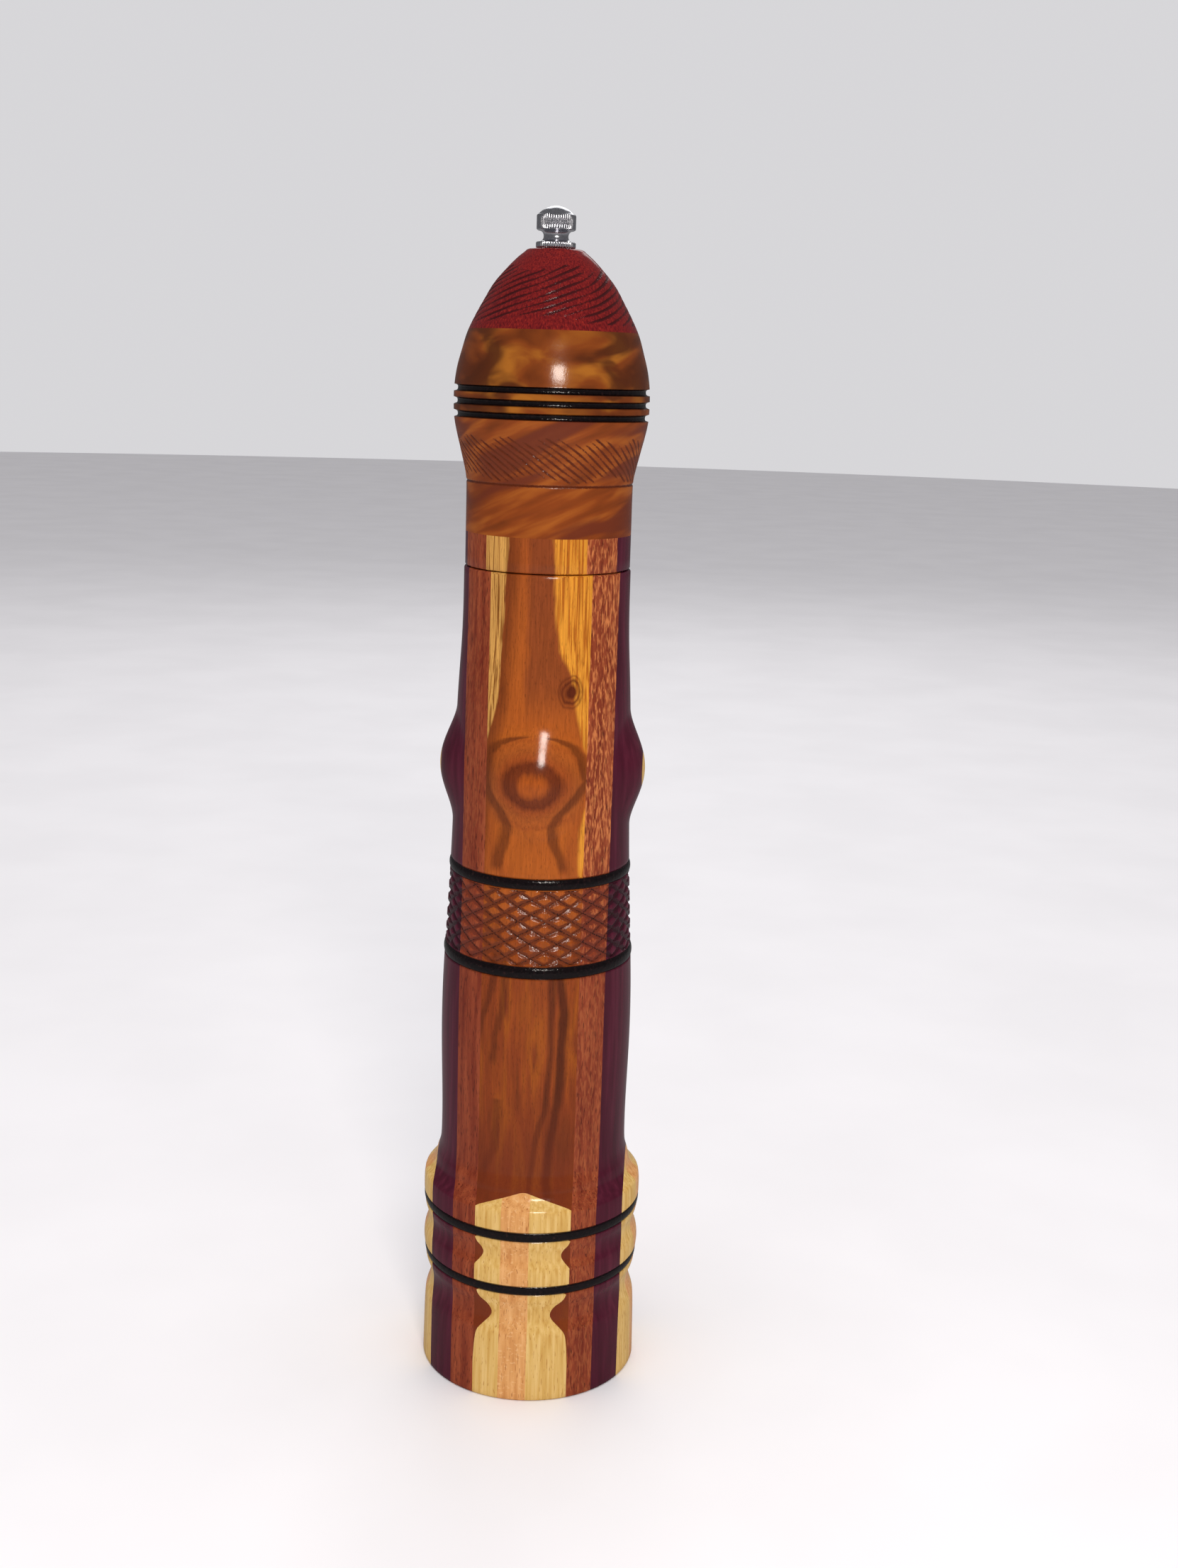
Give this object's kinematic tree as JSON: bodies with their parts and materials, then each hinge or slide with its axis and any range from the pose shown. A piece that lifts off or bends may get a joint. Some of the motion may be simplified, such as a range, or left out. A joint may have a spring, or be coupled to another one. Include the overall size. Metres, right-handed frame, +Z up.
{
  "type": "pepper mill",
  "caption": "Tall turned wooden pepper mill: laminated barrel on a banded foot, domed knobs, turning head, steel grinder inside and a knurled nut on top.",
  "frame": {"origin": "middle of the foot's underside, on the turning axis", "axes": "+Z up along the turning axis; -Y is the front, where one of the knobs is"},
  "size_m": [0.0758, 0.0758, 0.3954],
  "materials": {
    "walnut_core": "glossy lacquered heartwood, orange brown with dark bands",
    "mahogany": "glossy lacquered, red brown with open pores",
    "purpleheart": "glossy lacquered, dark purple",
    "maple": "glossy lacquered, straw yellow",
    "cherry": "glossy lacquered, pink brown with ray fleck",
    "bloodwood": "glossy lacquered, deep red, spiral grooves",
    "dome_walnut": "glossy lacquered, golden brown with dark swirls",
    "collar_walnut": "glossy lacquered, orange brown",
    "chrome": "bright plated, knurled rims",
    "steel": "plain zinc plated",
    "hardened_steel": "dark hardened"
  },
  "bodies": {
    "body": {"body_core": "walnut_core", "body_mahogany_left": "mahogany", "body_mahogany_right": "mahogany", "body_purpleheart_left": "purpleheart", "body_purpleheart_right": "purpleheart", "crossbar": "steel", "crossbar_screw_back": "steel", "crossbar_screw_front": "steel", "foot_back_cherry": "cherry", "foot_back_maple_left": "maple", "foot_back_maple_right": "maple", "foot_front_cherry": "cherry", "foot_front_maple_left": "maple", "foot_front_maple_right": "maple", "foot_left_cherry": "cherry", "foot_left_maple_back": "maple", "foot_left_maple_front": "maple", "foot_right_cherry": "cherry", "foot_right_maple_back": "maple", "foot_right_maple_front": "maple", "knob_tip_left": "maple", "knob_tip_right": "maple", "stator": "hardened_steel"},
    "shaft": {"shaft": "steel"},
    "head": {"drive_plate": "steel", "drive_plate_screw_left": "steel", "drive_plate_screw_right": "steel", "head_cap": "bloodwood", "head_collar": "collar_walnut", "head_dome": "dome_walnut", "ring_core": "walnut_core", "ring_mahogany_left": "mahogany", "ring_mahogany_right": "mahogany", "ring_purpleheart_left": "purpleheart", "ring_purpleheart_right": "purpleheart"},
    "nut": {"adjusting_nut": "chrome"},
    "grinder": {"rotor": "hardened_steel", "rotor_spring": "steel"}
  },
  "joints": [
    {"name": "head_turn", "type": "hinge", "parent": "body", "child": "shaft", "pos_m": [0, 0, 0], "axis": [0, 0, 1], "continuous": true},
    {"name": "head_lift", "type": "slide", "parent": "shaft", "child": "head", "axis": [0, 0, 1], "range_m": [0, 0.13]},
    {"name": "nut_turn", "type": "hinge", "parent": "head", "child": "nut", "pos_m": [0, 0, 0.382], "axis": [0, 0, 1], "range_deg": [0, 720]},
    {"name": "grind_adjust", "type": "slide", "parent": "shaft", "child": "grinder", "axis": [0, 0, 1], "range_m": [-0.0016, 0], "deforming": ["rotor_spring"]}
  ],
  "couplings": [
    {"joint": "nut_turn", "follows": "grind_adjust", "rad_per_m": -7853.9}
  ]
}
